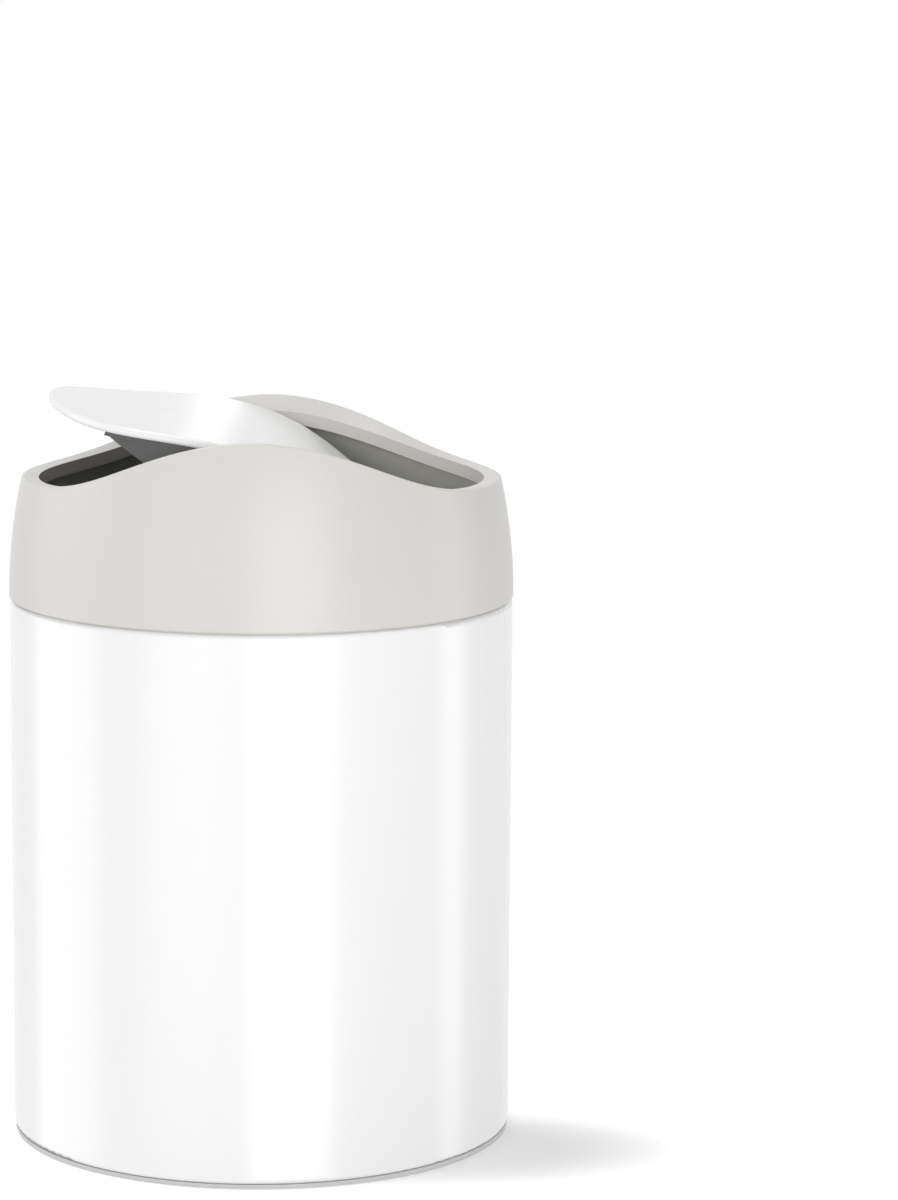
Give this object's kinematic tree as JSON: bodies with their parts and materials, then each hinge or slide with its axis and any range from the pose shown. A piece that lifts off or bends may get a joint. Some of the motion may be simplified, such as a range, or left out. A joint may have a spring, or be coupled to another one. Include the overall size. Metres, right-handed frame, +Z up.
{
  "type": "countertop swing-lid bin",
  "caption": "Small round countertop waste bin: painted steel can, plastic top with a wavy rim, and a matching wavy lid that swings both ways on two pins.",
  "frame": {"origin": "centre of the base, on the worktop", "axes": "+Z up; -Y towards the user, through the front rim crest; Y along the lid's hinge; the lid leans down towards +X at rest"},
  "size_m": [0.1248, 0.1248, 0.1849],
  "materials": {
    "white_paint": "smooth gloss",
    "floor_paint": "satin",
    "base_plastic": "matte",
    "pad_rubber": "matte",
    "collar_plastic": "fine satin",
    "sleeve_plastic": "matte",
    "bush_plastic": "smooth",
    "lid_plastic": "gloss",
    "carrier_plastic": "matte",
    "screw_steel": "zinc plated",
    "weight_steel": "rolled",
    "pin_steel": "ground"
  },
  "bodies": {
    "can": {"can_body": "white_paint", "can_floor": "floor_paint", "base_ring": "base_plastic", "foot_pads": "pad_rubber"},
    "top": {"collar_shell": "collar_plastic", "collar_sleeve": "sleeve_plastic", "pivot_bush_front": "bush_plastic", "pivot_bush_rear": "bush_plastic"},
    "lid": {"lid_panel": "lid_plastic", "lid_carrier": "carrier_plastic", "lid_screws": "screw_steel", "lid_weight_front": "weight_steel", "lid_weight_rear": "weight_steel", "pivot_pin_front": "pin_steel", "pivot_pin_rear": "pin_steel"}
  },
  "joints": [
    {"name": "top_lift", "type": "slide", "parent": "can", "child": "top", "axis": [0, 0, 1], "range_m": [0, 0.06]},
    {"name": "lid_swing", "type": "hinge", "parent": "top", "child": "lid", "pos_m": [0, 0, 0.1696], "axis": [0, 1, 0], "range_deg": [-107.7, 62.3]}
  ]
}
